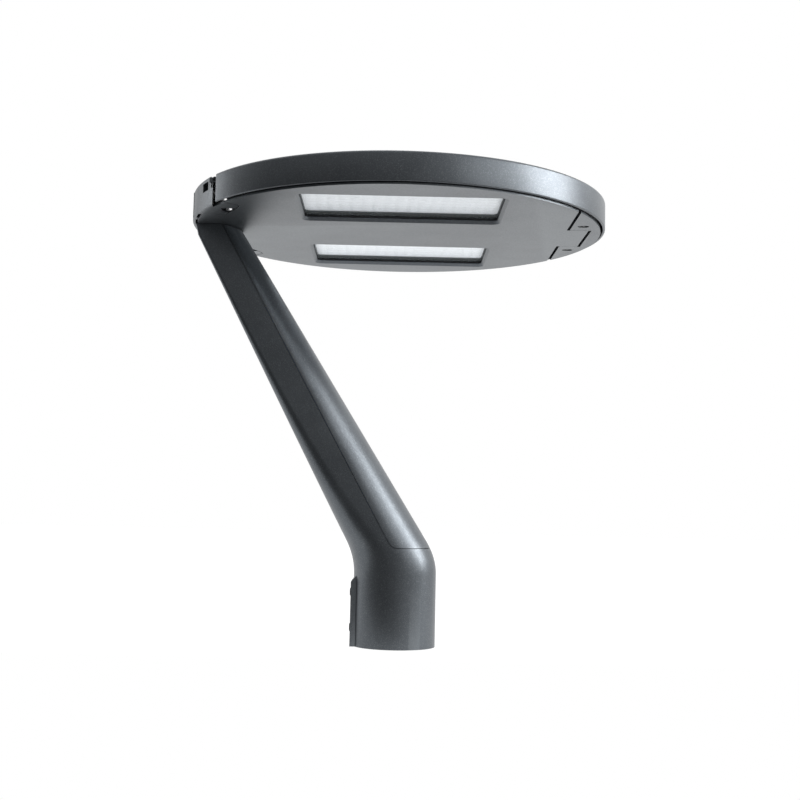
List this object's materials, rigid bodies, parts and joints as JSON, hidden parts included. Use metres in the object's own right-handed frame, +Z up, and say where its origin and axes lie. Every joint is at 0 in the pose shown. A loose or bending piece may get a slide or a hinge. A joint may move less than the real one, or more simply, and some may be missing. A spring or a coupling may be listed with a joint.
{
  "type": "solar street lamp",
  "caption": "Post-top solar street lamp: thin round head with a light window either side, on one leaning arm with a collar for a pole end; hinged solar lid.",
  "frame": {"origin": "on the pole's axis, at the bottom face of the arm's collar", "axes": "+Z up along the pole, +X from the pole towards the light side of the head's front, away from the hinge; the arm leans back to -X"},
  "size_m": [0.5, 0.5, 0.5332],
  "materials": {
    "coat": "satin",
    "steel": "brushed",
    "bare_aluminium": "satin",
    "black_plastic": "matte",
    "rubber_seal": "matte",
    "glass": "polished",
    "solar_cells": "gloss",
    "white_board": "matte",
    "lens": "gloss",
    "battery_wrap": "satin",
    "circuit_board": "satin"
  },
  "bodies": {
    "lamp": {"arm_casting": "coat", "arm_cover": "coat", "pole_screw_lower": "steel", "pole_screw_upper": "steel", "battery_tray": "black_plastic", "battery_stick_near": "battery_wrap", "battery_stick_far": "battery_wrap", "battery_strap_lower": "rubber_seal", "battery_strap_upper": "rubber_seal", "battery_board": "circuit_board", "base_casting": "coat", "tub_gasket": "rubber_seal", "arm_screw_1": "steel", "arm_screw_2": "steel", "arm_screw_3": "steel", "arm_screw_4": "steel", "rear_cap": "coat", "hinge_block_near": "coat", "hinge_pin_near": "steel", "window_gasket_near": "rubber_seal", "window_glass_near": "glass", "window_frame_near": "black_plastic", "lens_array_near": "lens", "led_board_near": "white_board", "heat_sink_near": "bare_aluminium", "latch_screw_near": "steel", "hinge_block_far": "coat", "hinge_pin_far": "steel", "window_gasket_far": "rubber_seal", "window_glass_far": "glass", "window_frame_far": "black_plastic", "lens_array_far": "lens", "led_board_far": "white_board", "heat_sink_far": "bare_aluminium", "latch_screw_far": "steel", "charge_controller": "black_plastic", "led_driver": "bare_aluminium", "box_screw_1": "steel", "box_screw_2": "steel", "box_screw_3": "steel", "box_screw_4": "steel", "box_screw_5": "steel", "box_screw_6": "steel", "cable_gland": "black_plastic", "vent_plug": "black_plastic", "disconnect_socket": "black_plastic", "arm_cable": "rubber_seal", "latch_bracket": "bare_aluminium"},
    "lid": {"top_cover": "coat", "panel_seal": "rubber_seal", "panel_laminate": "solar_cells", "panel_glass": "glass", "junction_box": "black_plastic", "disconnect_plug": "black_plastic", "latch_keeper": "steel", "hinge_leaf_near": "bare_aluminium", "hinge_leaf_far": "bare_aluminium"},
    "latch": {"latch_plate": "coat"}
  },
  "joints": [
    {"name": "lid_hinge", "type": "hinge", "parent": "lamp", "child": "lid", "pos_m": [-0.2125, 0, 0.528], "axis": [0, -1, 0], "range_deg": [0, 75]},
    {"name": "latch_slide", "type": "slide", "parent": "lamp", "child": "latch", "axis": [-1, 0, 0], "range_m": [0, 0.0032], "stiffness_N_per_m": 900, "springref_m": -0.004}
  ]
}
